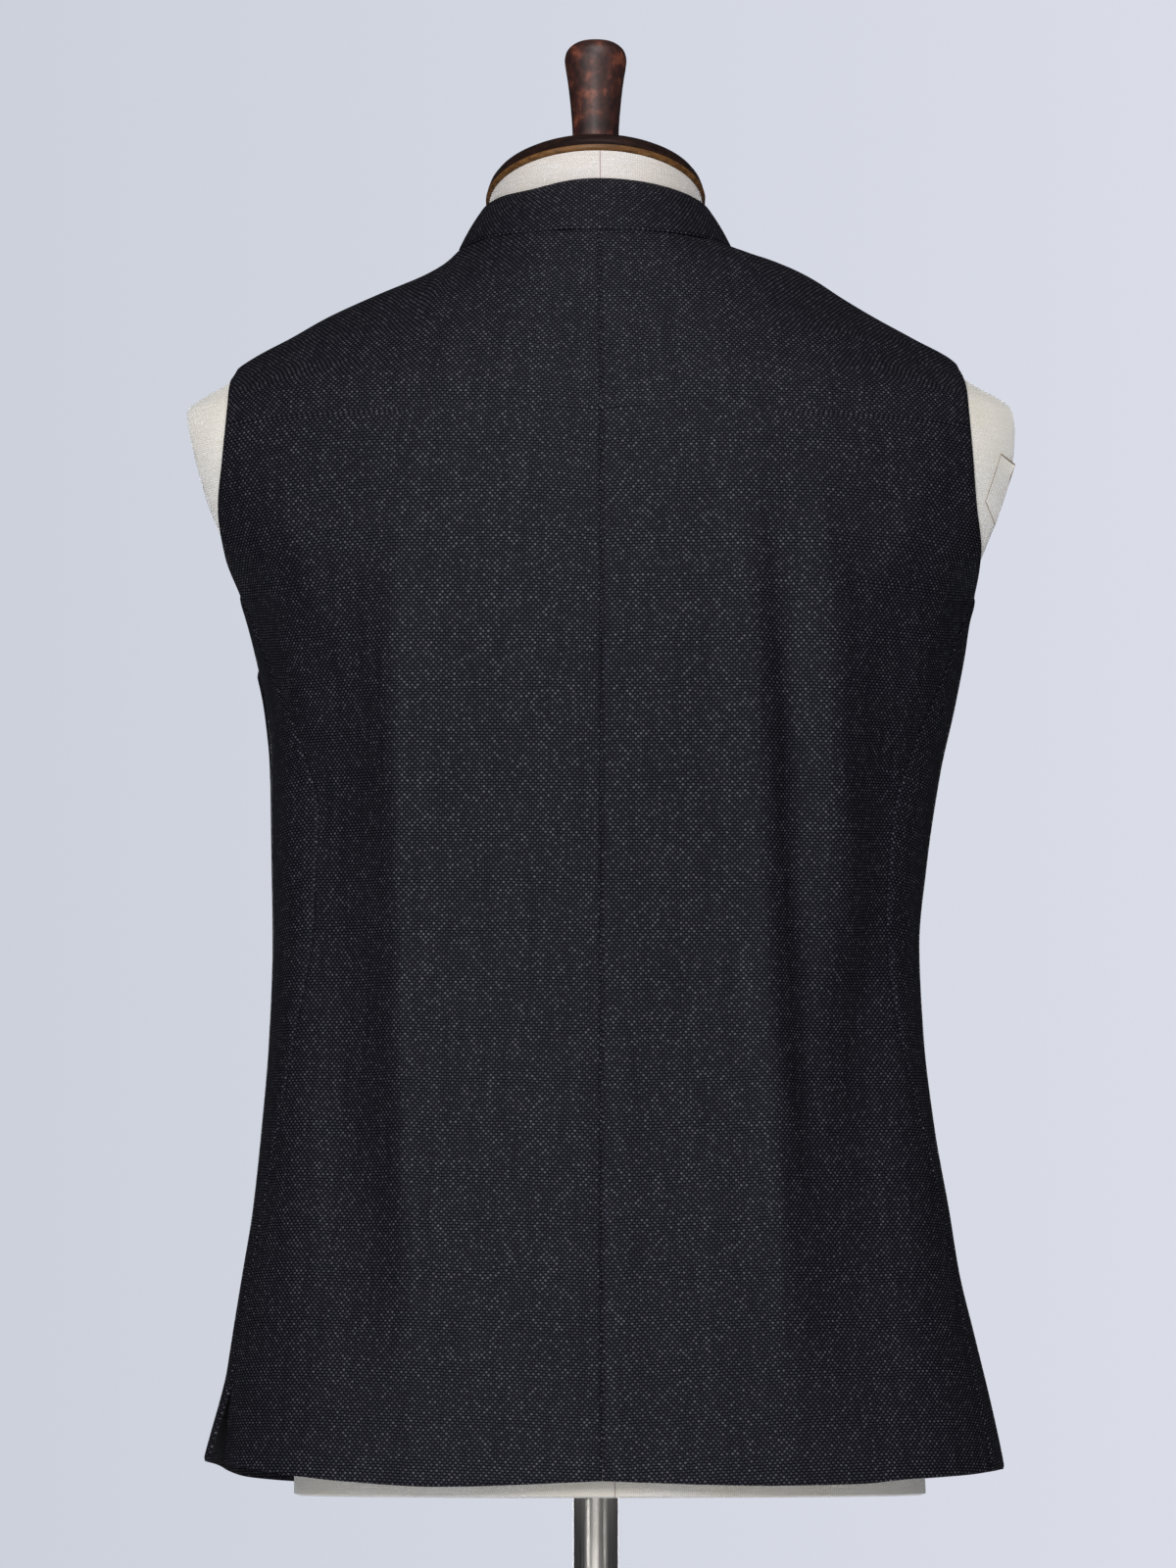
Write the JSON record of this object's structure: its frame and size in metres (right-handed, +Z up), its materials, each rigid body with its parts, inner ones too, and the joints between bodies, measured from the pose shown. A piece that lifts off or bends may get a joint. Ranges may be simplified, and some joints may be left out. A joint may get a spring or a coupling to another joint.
{
  "type": "waistcoat on a dress form stand",
  "caption": "Black stand-collar waistcoat with side vents, worn on a limbless linen dress form with a wooden neck cap and finial, on a steel pole with a round base.",
  "frame": {"origin": "centre of the base plate's underside, on the pole's axis at floor level", "axes": "+Z up, the waistcoat faces -Y, the wearer's left is +X"},
  "size_m": [0.4734, 0.34, 1.6752],
  "materials": {
    "suiting": "matt plain-weave wool blend with small glints",
    "satin": "glossy black satin",
    "button_black": "satin black",
    "linen": "unbleached linen, slightly worn",
    "cap_wood": "dark stained and varnished, worn at the edge",
    "finial_wood": "dark red-brown stained, mottled with wear",
    "steel": "brushed"
  },
  "bodies": {
    "root": {"back_left": "suiting", "back_right": "suiting", "front_left": "suiting", "front_right": "suiting", "collar": "suiting", "vent_lining_left": "satin", "vent_lining_right": "satin", "button_1": "button_black", "button_2": "button_black", "button_3": "button_black", "button_4": "button_black", "button_5": "button_black", "dress_form": "linen", "neck_cap": "cap_wood", "finial": "finial_wood", "pole": "steel", "base_plate": "steel"}
  },
  "joints": []
}
